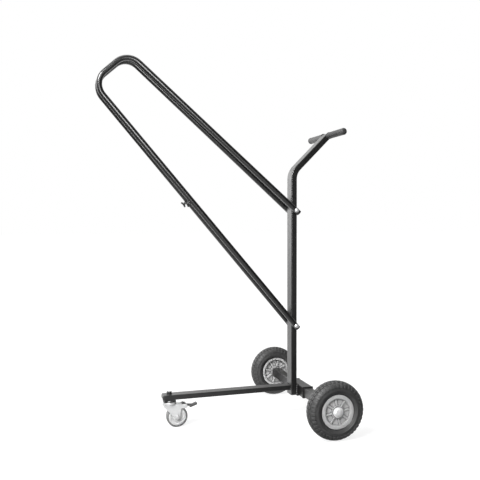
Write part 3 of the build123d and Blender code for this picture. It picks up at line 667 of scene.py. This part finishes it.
def sinkPockets(bm, way, firstTurn):
    half = rim["ribWidth"] / 2 * mm
    for across in ribLines(firstTurn):
        for shift in (-half, half):
            faces = [face for face in bm.faces if pocketZone(face, way)]
            geom = list({item for face in faces for item in [face, *face.edges, *face.verts]})
            bmesh.ops.bisect_plane(bm, geom=geom, dist=cutDistance, plane_co=across * shift, plane_no=across)

    def betweenRibs(face):
        centre = face.calc_center_median()
        clear = all(abs(centre.dot(across)) > half for across in ribLines(firstTurn))
        return clear and pocketZone(face, way)

    floors = [face for face in bm.faces if betweenRibs(face)]
    depth = rim["sides"][way]["depth"]
    bmesh.ops.inset_region(bm, faces=floors, thickness=rim["draft"] * mm, depth=-depth * mm,
                           use_boundary=True, use_even_offset=True)


def inPocket(edge):
    middle = (edge.verts[0].co + edge.verts[1].co) / 2 / mm
    radius = math.hypot(middle.x, middle.z)
    shape = rim["sides"][1 if middle.y > 0 else -1]
    margin = rim["pocketMargin"]
    inReach = rim["pocketInner"] - margin < radius < shape["pocket"] + margin
    return inReach and abs(middle.y) < shape["disc"] + rim["levelMargin"]


# the lip reaches out a little over one short stretch
def pushLipTab(bm):
    for vert in bm.verts:
        place = vert.co / mm
        if place.y < rim["beadSide"] or math.hypot(place.x, place.z) < rim["flange"] - rim["tabBand"]:
            continue
        away = math.degrees(math.atan2(place.z, place.x)) - rim["tabTurn"]
        share = max(0.0, 1.0 - abs(away) / rim["tabSpan"])
        outwards = Vector((place.x, 0.0, place.z)).normalized()
        vert.co += outwards * min(1.0, rim["tabSteepness"] * share) * rim["tabReach"] * mm


def makeRim(side):
    bm = bmesh.new()
    spinProfile(bm, rimHalf(1)[::-1] + rimHalf(-1), rim["steps"], closed=True)
    bmesh.ops.recalc_face_normals(bm, faces=bm.faces)
    for way in rim["sides"]:
        sinkPockets(bm, way, rim["turn"][side])
    roundEdges(bm, sharpEdges(bm, rim["sharp"], inPocket), rim["pocketRound"], segments=2)
    others = sharpEdges(bm, rim["sharp"], lambda edge: not inPocket(edge))
    roundEdges(bm, others, rim["lipRound"], segments=3)
    pushLipTab(bm)
    toSide(bm, side, boxMiddle("tyre_" + side))
    makePiece(side + "Rim", bm, "rim_plastic", "wheel_" + side, "rim_" + side)


# axle caps: a flat rim, a short collar and a domed end over the axle
cap = {
    "rim": 18.0, "rimThick": 1.2, "collar": 12.0, "collarFlare": 0.8, "collarTop": 4.2, "top": 6.0,
    "bore": 10.0, "bottom": 4.0, "steps": 64, "domeSteps": 8, "round": 0.6, "sharp": 40.0,
}


def makeCap(side):
    bm = bmesh.new()
    outline = [(0.0, cap["bottom"]), (cap["bore"], cap["bottom"]), (cap["bore"], 0.0), (cap["rim"], 0.0),
               (cap["rim"], cap["rimThick"]), (cap["collar"] + cap["collarFlare"], cap["rimThick"])]
    edge, half = (cap["collar"], cap["collarTop"]), cap["domeSteps"]
    dome = threePointArc((-cap["collar"], cap["collarTop"]), (0.0, cap["top"]), edge, 2 * half)
    outline += [edge] + dome[half:-1][::-1]
    spinProfile(bm, outline, cap["steps"])
    roundEdges(bm, sharpEdges(bm, cap["sharp"]), cap["round"], segments=2)
    node = "axle_cap_" + side
    low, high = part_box(node)
    centre = (low + high) / 2
    centre.y = low.y if side == "far" else high.y
    toSide(bm, side, centre)
    makePiece(side + "AxleCap", bm, "cap_chrome", "frame", node)


for wheelSide in ("near", "far"):
    makeTyre(wheelSide)
    makeRim(wheelSide)
    makeCap(wheelSide)
print("rear wheels made")

# grips: a soft sleeve with a collar against the neck, a ring near the end and a domed tip
grip = {
    "bore": 10.03, "start": 23.5, "collar": 13.1, "collarEnd": 27.5, "body": 12.2, "bodyStart": 29.5,
    "ringStart": 138.6, "ringFloor": 11.6, "ringEnd": 141.6, "ringSlope": 0.4, "end": 12.5,
    "domeStart": 146.5, "domeMiddle": (9.3, 150.5), "domeSteps": 10, "tip": 152.0, "floor": 147.03,
    "steps": 64, "round": 0.5, "sharp": 40.0,
}


def makeGrip(side):
    bm = bmesh.new()
    slope = grip["ringSlope"]
    points = [(grip["bore"], grip["start"]), (grip["collar"], grip["start"]),
              (grip["collar"], grip["collarEnd"]), (grip["body"], grip["bodyStart"]),
              (grip["body"], grip["ringStart"]), (grip["ringFloor"], grip["ringStart"] + slope),
              (grip["ringFloor"], grip["ringEnd"] - slope), (grip["end"], grip["ringEnd"])]
    domeStart, tip = (grip["end"], grip["domeStart"]), (0.0, grip["tip"])
    points += threePointArc(domeStart, grip["domeMiddle"], tip, grip["domeSteps"])
    points += [(0.0, grip["floor"]), (grip["bore"], grip["floor"])]
    spinProfile(bm, points, grip["steps"], closed=True)
    roundEdges(bm, sharpEdges(bm, grip["sharp"]), grip["round"], segments=2)
    node = "grip_" + side
    centre = boxMiddle(node)
    centre.y = 0.0
    toSide(bm, side, centre)
    makePiece(side + "Grip", bm, "grip_rubber", "frame", node)


for gripSide in ("near", "far"):
    makeGrip(gripSide)
print("grips made")

# caster wheel: a crowned tread on a plain moulded core with a raised rim and a hub
casterWheel = {
    "tread": 38.0, "crown": 0.15, "treadSide": 12.0, "treadEdge": 35.4, "treadMiddle": (37.2, 10.9),
    "treadTop": 8.4, "treadSteps": 5, "seat": 31.0, "fitGap": 0.03, "ringSide": 13.5, "ringFoot": 24.5,
    "ringSlope": 0.6, "disc": 13.0, "lineOuter": 20.0, "lineInner": 18.6, "lineDepth": 0.5, "lineSlope": 0.3,
    "hub": 12.0, "hubSide": 13.8, "hubSlope": 1.0, "bore": 7.03, "steps": 96, "round": 0.6, "sharp": 30.0,
}


def makeCasterTread():
    bm = bmesh.new()
    side = casterWheel["treadSide"]
    top = (casterWheel["tread"] - casterWheel["crown"], casterWheel["treadTop"])
    corner = threePointArc((casterWheel["treadEdge"], side), casterWheel["treadMiddle"], top,
                           casterWheel["treadSteps"])
    half = [(casterWheel["seat"] + casterWheel["fitGap"], side)] + corner
    points = half + [(casterWheel["tread"], 0.0)] + mirrored(half)
    spinProfile(bm, points, casterWheel["steps"], closed=True)
    bmesh.ops.translate(bm, vec=boxMiddle("caster_tread"), verts=bm.verts)
    makePiece("casterTread", bm, "caster_tread_rubber", "caster_wheel", "caster_tread")


def makeCasterCore():
    bm = bmesh.new()
    disc, floor = casterWheel["disc"], casterWheel["disc"] - casterWheel["lineDepth"]
    hub, hubSide = casterWheel["hub"], casterWheel["hubSide"]
    inner, outer, slope = casterWheel["lineInner"], casterWheel["lineOuter"], casterWheel["lineSlope"]
    foot, ringSide = casterWheel["ringFoot"], casterWheel["ringSide"]
    half = [(casterWheel["bore"], hubSide), (hub - casterWheel["hubSlope"], hubSide), (hub, disc),
            (inner, disc), (inner + slope, floor), (outer - slope, floor), (outer, disc),
            (foot - casterWheel["ringSlope"], disc), (foot, ringSide), (casterWheel["seat"], ringSide)]
    spinProfile(bm, half + mirrored(half), casterWheel["steps"], closed=True)
    roundEdges(bm, sharpEdges(bm, casterWheel["sharp"]), casterWheel["round"], segments=2)
    bmesh.ops.translate(bm, vec=boxMiddle("caster_wheel_core"), verts=bm.verts)
    makePiece("casterCore", bm, "caster_core_plastic", "caster_wheel", "caster_wheel_core")


makeCasterTread()
makeCasterCore()
print("caster wheel made")

# caster fasteners: chamfered hexagons on the kingpin and on the wheel's axle
casterBolts = {"pinNut": 17.0, "pinBore": 5.03, "axleNut": 13.0, "axle": 4.0, "axleTip": 1.0, "fitGap": 0.03}


def makeKingpinNut():
    bm = bmesh.new()
    low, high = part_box("kingpin_nut")
    middle = (low + high) / 2
    height = ((high - low) / mm).z
    place = at(middle.x, middle.y, low.z) @ spinUpright
    addPart(bm, place, addNut, casterBolts["pinNut"], height, casterBolts["pinBore"])
    makePiece("kingpinNut", bm, "dark_steel", "frame", "kingpin_nut")


# the bolt's head is on the near side, its nut on the far side
def addAxleBolt(bm, length, head):
    across, radius, tip = casterBolts["axleNut"], casterBolts["axle"], casterBolts["axleTip"]
    shank = [(across, head), (radius, head), (radius, length - tip), (radius - tip, length), (0.0, length)]
    spinHex(bm, [(0.0, 0.0)] + hexChamfer(across, 0.0, -1) + shank, across)


def makeAxleFasteners():
    low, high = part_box("caster_axle_bolt")
    nutLow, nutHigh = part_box("caster_axle_nut")
    head = (nutHigh.y - nutLow.y) / mm
    middle = (low + high) / 2
    bm = bmesh.new()
    addPart(bm, at(middle.x, low.y, middle.z), addAxleBolt, (high.y - low.y) / mm, head)
    makePiece("casterAxleBolt", bm, "zinc_steel", "caster_swivel", "caster_axle_bolt", finish=shadedDullZinc)
    bm = bmesh.new()
    nutBore = casterBolts["axle"] + casterBolts["fitGap"]
    addPart(bm, at(middle.x, nutLow.y, middle.z), addNut, casterBolts["axleNut"], head, nutBore)
    makePiece("casterAxleNut", bm, "zinc_steel", "caster_swivel", "caster_axle_nut", finish=shadedDullZinc)


makeKingpinNut()
makeAxleFasteners()
print("caster fasteners made")

# brake pedal: a rounded pad with grip bars across its top
pedal = {
    "halfThick": 3.8, "halfWidth": 9.0, "round": 2.2, "bars": 5, "barRadius": 0.9, "barHalf": 6.6,
    "barFirst": 2.6, "barLast": 19.7, "barSink": 0.2, "barSides": 16, "barRound": 0.4, "barSharp": 60.0,
}


def addPedal(bm, length):
    thick, width = pedal["halfThick"], pedal["halfWidth"]
    addPlate(bm, beltOutline([(0.0, 0.0, thick), (length, 0.0, thick)]), width)

    def onEnd(edge):
        middle = (edge.verts[0].co.y + edge.verts[1].co.y) / 2
        return abs(abs(middle) - width * mm) < mergeDistance

    roundEdges(bm, [edge for edge in bm.edges if onEnd(edge)], pedal["round"], segments=4)


def addBar(bm):
    radius = pedal["barRadius"] * mm
    bmesh.ops.create_cone(bm, cap_ends=True, segments=pedal["barSides"], radius1=radius, radius2=radius,
                          depth=2 * pedal["barHalf"] * mm)
    roundEdges(bm, sharpEdges(bm, pedal["barSharp"]), pedal["barRound"], segments=2)
    bmesh.ops.rotate(bm, cent=(0, 0, 0), matrix=Matrix.Rotation(math.radians(90.0), 3, "X"), verts=bm.verts)


def makePedal():
    low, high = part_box("brake_pedal_pad")
    thick = pedal["halfThick"] * mm
    heel = Vector((low.x + thick, 0.0, low.z + thick))
    toe = Vector((high.x - thick, 0.0, high.z - thick))
    along = toe - heel
    place = Matrix.Translation(heel) @ Matrix.Rotation(-math.atan2(along.z, along.x), 4, "Y")
    bm = bmesh.new()
    addPart(bm, place, addPedal, along.length / mm)
    step = (pedal["barLast"] - pedal["barFirst"]) / (pedal["bars"] - 1)
    for index in range(pedal["bars"]):
        spot = at((pedal["barFirst"] + index * step) * mm, 0.0, thick - pedal["barSink"] * mm)
        addPart(bm, place @ spot, addBar)
    makePiece("brakePedal", bm, "pedal_plastic", "brake", "brake_pedal_pad")


makePedal()
print("brake pedal made")

# dome nuts on the far ends of the rail bolts; domeMiddle is in shares of the dome's radius and rise
domeNut = {
    "across": 13.0, "hexHeight": 6.0, "domeRadius": 5.8, "height": 11.0, "bore": 4.03,
    "domeMiddle": (0.72, 0.69), "domeSteps": 10,
}


def addDomeNut(bm):
    across, bore, radius = domeNut["across"], domeNut["bore"], domeNut["domeRadius"]
    base, top = domeNut["hexHeight"], domeNut["height"]
    outShare, upShare = domeNut["domeMiddle"]
    middle = (radius * outShare, base + (top - base) * upShare)
    dome = threePointArc((radius, base), middle, (0.0, top), domeNut["domeSteps"])
    points = [(bore, 0.0)] + hexSides(across, base) + dome + [(0.0, base), (bore, base)]
    spinHex(bm, points, across, closed=True)


def makeDomeNuts():
    low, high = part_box("rail_bolt_nuts")
    reach = domeNut["across"] / 2 * mm
    bm = bmesh.new()
    for height in (low.z + reach, high.z - reach):
        addPart(bm, at((low.x + high.x) / 2, low.y, height), addDomeNut)
    makePiece("railDomeNuts", bm, "zinc_steel", "frame", "rail_bolt_nuts")


makeDomeNuts()
print("dome nuts made")

# wing screws: a domed hub with two rounded wings, along the screw's own axis
wing = {
    "shank": 3.0, "tip": 8.3, "tipChamfer": 0.6, "hub": 4.8, "hubBottom": 15.0, "hubTop": 21.5,
    "domeDrop": 1.6, "domeMiddle": (0.75, 0.4), "domeSteps": 6, "root": (0.0, 18.8, 4.0), "reach": 8.5,
    "end": 22.0, "endRadius": 3.0, "halfThick": 1.7, "round": 1.2, "steps": 32,
}


def addHub(bm):
    hub, top, shank, tip = wing["hub"], wing["hubTop"], wing["shank"], wing["tip"]
    chamfer = wing["tipChamfer"]
    outShare, middleDrop = wing["domeMiddle"]
    dome = threePointArc((hub, top - wing["domeDrop"]), (hub * outShare, top - middleDrop), (0.0, top),
                         wing["domeSteps"])
    points = [(0.0, tip), (shank - chamfer, tip), (shank, tip + chamfer), (shank, wing["hubBottom"]),
              (hub, wing["hubBottom"])]
    spinProfile(bm, points + dome, wing["steps"])


def addWing(bm, way):
    ends = [wing["root"], (way * wing["reach"], wing["end"], wing["endRadius"])]
    addPlate(bm, beltOutline(ends), wing["halfThick"])
    flat = [edge for edge in bm.edges if abs(edge.verts[0].co.y - edge.verts[1].co.y) < mergeDistance]
    roundEdges(bm, flat, wing["round"], segments=3)


def screwFrame(joint):
    outwards = Vector(joint["axis"]).normalized()
    across = (Vector((0.0, 1.0, 0.0)) - outwards * outwards.y).normalized()
    turn = Matrix((across.cross(outwards), across, outwards)).transposed()
    return Matrix.Translation(joint["pos_m"]) @ turn.to_4x4()


def makeWingScrew(side):
    turn = "wing_screw_" + side + "_turn"
    joint = next(item for item in frame["record"]["behaviour"]["joints"] if item["name"] == turn)
    place = screwFrame(joint)
    bm = bmesh.new()
    addPart(bm, place @ spinUpright, addHub)
    for way in (-1, 1):
        addPart(bm, place, addWing, way)
    makePiece(side + "WingScrew", bm, "black_plastic", "screw_" + side, "wing_screw_" + side)


for screwSide in ("near", "far"):
    makeWingScrew(screwSide)
print("wing screws made")

# weld beads under the paint, in overlapping ripples along straight seams
weld = {"radius": 2.0, "ripple": 1.3, "swell": 0.16, "sides": 10, "leastSteps": 4, "inset": 3.0}


def addWeld(bm, length):
    steps = max(weld["leastSteps"], round(length / weld["ripple"]) * 2)
    swollen = 1.0 + weld["swell"]
    ring = bmesh.ops.create_circle(bm, segments=weld["sides"], radius=weld["radius"] * mm)["verts"]
    edges = list({edge for vert in ring for edge in vert.link_edges})
    for index in range(1, steps + 1):
        made = bmesh.ops.extrude_edge_only(bm, edges=edges)["geom"]
        edges = [item for item in made if isinstance(item, bmesh.types.BMEdge)]
        verts = [item for item in made if isinstance(item, bmesh.types.BMVert)]
        middle = Vector((0.0, 0.0, length * index / steps * mm))
        grow = swollen if index % 2 else 1.0 / swollen  # every second ring goes back to the plain radius
        bmesh.ops.translate(bm, verts=verts, vec=(0, 0, length / steps * mm))
        bmesh.ops.scale(bm, vec=(grow, grow, 1.0), space=Matrix.Translation(-middle), verts=verts)
    bmesh.ops.holes_fill(bm, edges=bm.edges, sides=weld["sides"])


def weldAlong(bm, start, end):
    along = Vector(end) - Vector(start)
    place = Matrix.Translation(start) @ along.to_track_quat("Z", "Y").to_matrix().to_4x4()
    addPart(bm, place, addWeld, along.length / mm)


def makeWelds():
    bm = bmesh.new()
    beamLow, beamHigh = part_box("base_beam")
    plateLow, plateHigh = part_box("axle_mount_plate")
    inset = weld["inset"] * mm
    face = beamHigh.x
    for z in (beamLow.z, beamHigh.z):
        weldAlong(bm, (face, beamLow.y + inset, z), (face, beamHigh.y - inset, z))
    for y in (beamLow.y, beamHigh.y):
        weldAlong(bm, (face, y, beamLow.z + inset), (face, y, beamHigh.z - inset))
    postLow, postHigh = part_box("post_tube")
    for y in (postLow.y, postHigh.y):
        weldAlong(bm, (plateLow.x, y, plateLow.z + inset), (plateLow.x, y, plateHigh.z - inset))
    tubeLow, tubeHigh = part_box("axle_center_tube")
    for z in (tubeLow.z, tubeHigh.z):
        weldAlong(bm, (plateHigh.x, plateLow.y + inset, z), (plateHigh.x, plateHigh.y - inset, z))
    makePiece("frameWelds", bm, "black_paint", "frame")


makeWelds()
print("welds made")

# floor, light and camera
stageSet = {
    "floorSize": 60.0, "floorDrop": -0.0002, "floorTone": grey(0.25),
    "floorGlow": 0.84, "glowFrom": 0.8, "glowTo": 2.5,  # the floor whitens away from the cart
    # the floor as the cart mirrors it: shine at two places across, and where the room's back takes over
    "floorLeft": (-0.1, 1.0), "floorRight": (0.45, 0.35), "floorFront": -0.6, "floorBack": 0.6,
    "stripFrom": -1.4, "stripTo": -0.6, "offStrip": 0.2,
    "ambient": 0.15, "frontTone": 0.05, "backTone": 1.9, "backFrom": -0.35, "backTo": 0.35,
    "dimFrom": 0.05, "dimTo": 0.35, "dimmed": 0.35,
}
# the key's shine comes from a small panel, and its soft light from a large one in the same place
lamps = {
    "keyPanel": {"place": (-1.95, -1.5, 2.5), "aim": (0.1, 0.0, 0.4), "size": (0.6, 0.6), "power": 170.0,
                 "shineOnly": True},
    "softPanel": {"place": (-1.95, -1.5, 2.5), "aim": (0.1, 0.0, 0.4), "size": (1.8, 1.8), "power": 215.0,
                  "softOnly": True},
    "topPanel": {"place": (0.0, 0.2, 3.4), "aim": (0.0, 0.0, 0.0), "size": (2.6, 2.6), "power": 35.0},
    "backPanel": {"place": (-2.2, 4.2, 1.4), "aim": (0.1, 0.0, 0.6), "size": (4.0, 2.8), "power": 60.0},
    "lensPanel": {"place": (-0.8, -2.35, 1.0), "aim": (-0.2, 0.0, 0.7), "size": (0.8, 0.8), "power": 70.0,
                  "shineOnly": True},
}
photoView = {
    "place": (-0.6037, -2.2258, 0.7410), "yaw": 17.03, "pitch": 1.85, "roll": -0.10,
    "focalPixels": 635.5, "imagePixels": 480, "sensor": 36.0, "far": 200.0,
}


def rangeNode(tree, value, start, end, low, high):
    node = addNode(tree, "ShaderNodeMapRange", interpolation_type="SMOOTHSTEP")
    setInputs(node, Value=value, From_Min=start, From_Max=end, To_Min=low, To_Max=high)
    return node.outputs["Result"]


# how bright the cart mirrors the floor at each place
def floorShine(tree, place):
    split = splitAxes(tree, place)
    (leftX, leftTone), (rightX, rightTone) = stageSet["floorLeft"], stageSet["floorRight"]
    front = rangeNode(tree, split["X"], leftX, rightX, leftTone, rightTone)
    back = rangeNode(tree, split["Y"], stageSet["floorFront"], stageSet["floorBack"], 0.0, 1.0)
    rest = mathNode(tree, "SUBTRACT", stageSet["backTone"], front)
    shine = mathNode(tree, "ADD", front, mathNode(tree, "MULTIPLY", back, rest))
    strip = rangeNode(tree, split["X"], stageSet["stripFrom"], stageSet["stripTo"], stageSet["offStrip"], 1.0)
    return mathNode(tree, "MULTIPLY", shine, strip)


# pale and glowing for the camera, so that it shows white but keeps the shadow, and only shine in reflections
def makeFloorFinish():
    material = bpy.data.materials.new("paleFloor")
    material.use_nodes = True
    tree = material.node_tree
    tree.nodes.clear()
    place = objectPlace(tree)
    light = addNode(tree, "ShaderNodeLightPath").outputs
    away = vectorNode(tree, "LENGTH", place)["Value"]
    near = rangeNode(tree, away, stageSet["glowFrom"], stageSet["glowTo"], stageSet["floorGlow"], 1.0)
    white = mathNode(tree, "MULTIPLY", light["Is Camera Ray"], near)
    glow = setInputs(addNode(tree, "ShaderNodeEmission"), Strength=white)
    lit = setInputs(addNode(tree, "ShaderNodeBsdfDiffuse"), Color=stageSet["floorTone"])
    seen = addNode(tree, "ShaderNodeAddShader")
    feed(seen.inputs[0], lit.outputs["BSDF"])
    feed(seen.inputs[1], glow.outputs["Emission"])
    mirror = setInputs(addNode(tree, "ShaderNodeEmission"), Strength=floorShine(tree, place))
    choice = setInputs(addNode(tree, "ShaderNodeMixShader"), Fac=light["Is Glossy Ray"])
    feed(choice.inputs[1], seen.outputs["Shader"])
    feed(choice.inputs[2], mirror.outputs["Emission"])
    setInputs(addNode(tree, "ShaderNodeOutputMaterial"), Surface=choice.outputs["Shader"])
    return material


def makeFloor():
    bm = bmesh.new()
    bmesh.ops.create_grid(bm, x_segments=1, y_segments=1, size=stageSet["floorSize"] / 2)
    bmesh.ops.translate(bm, verts=bm.verts, vec=(0, 0, stageSet["floorDrop"]))
    floor = addObject("floor", meshFrom(bm, "floor"))
    floor.data.materials.append(makeFloorFinish())


# white for the camera; in reflections bright behind the cart, dimmer to the right and dark in front
def makeSurroundings():
    world = bpy.data.worlds.new("studio")
    bpy.context.scene.world = world
    world.use_nodes = True
    tree = world.node_tree
    tree.nodes.clear()
    split = splitAxes(tree, addNode(tree, "ShaderNodeTexCoord").outputs["Generated"])
    back = rangeNode(tree, split["Y"], stageSet["backFrom"], stageSet["backTo"],
                     stageSet["frontTone"], stageSet["backTone"])
    right = rangeNode(tree, split["X"], stageSet["dimFrom"], stageSet["dimTo"], 1.0, stageSet["dimmed"])
    light = addNode(tree, "ShaderNodeLightPath").outputs
    mirror = mathNode(tree, "MULTIPLY", light["Is Glossy Ray"], mathNode(tree, "MULTIPLY", back, right))
    soft = mathNode(tree, "MULTIPLY", light["Is Diffuse Ray"], stageSet["ambient"])
    strength = mathNode(tree, "ADD", light["Is Camera Ray"], mathNode(tree, "ADD", mirror, soft))
    background = setInputs(addNode(tree, "ShaderNodeBackground"), Color=grey(1.0), Strength=strength)
    setInputs(addNode(tree, "ShaderNodeOutputWorld"), Surface=background.outputs["Background"])


def makeLamp(name, panel):
    data = bpy.data.lights.new(name, "AREA")
    data.shape = "RECTANGLE"
    data.size, data.size_y = panel["size"]
    data.energy = panel["power"]
    lamp = addObject(name, data)
    lamp.location = panel["place"]
    aim = Vector(panel["aim"]) - Vector(panel["place"])
    lamp.rotation_euler = aim.to_track_quat("-Z", "Y").to_euler()
    lamp.visible_camera = False
    lamp.visible_diffuse = not panel.get("shineOnly", False)
    lamp.visible_glossy = not panel.get("softOnly", False)


def makeCamera():
    data = bpy.data.cameras.new("photoCamera")
    data.sensor_width = photoView["sensor"]
    data.lens = photoView["focalPixels"] / photoView["imagePixels"] * photoView["sensor"]
    data.clip_end = photoView["far"]
    camera = addObject("photoCamera", data)
    turn = Matrix.Rotation(math.radians(-photoView["yaw"]), 4, "Z")
    tilt = Matrix.Rotation(math.radians(90.0 - photoView["pitch"]), 4, "X")
    roll = Matrix.Rotation(math.radians(photoView["roll"]), 4, "Z")
    camera.matrix_world = Matrix.Translation(photoView["place"]) @ turn @ tilt @ roll
    bpy.context.scene.camera = camera


makeFloor()
makeSurroundings()
for lampName, panel in lamps.items():
    makeLamp(lampName, panel)
makeCamera()
bpy.context.scene.view_settings.view_transform = "Standard"
print("floor, lamps and camera set")
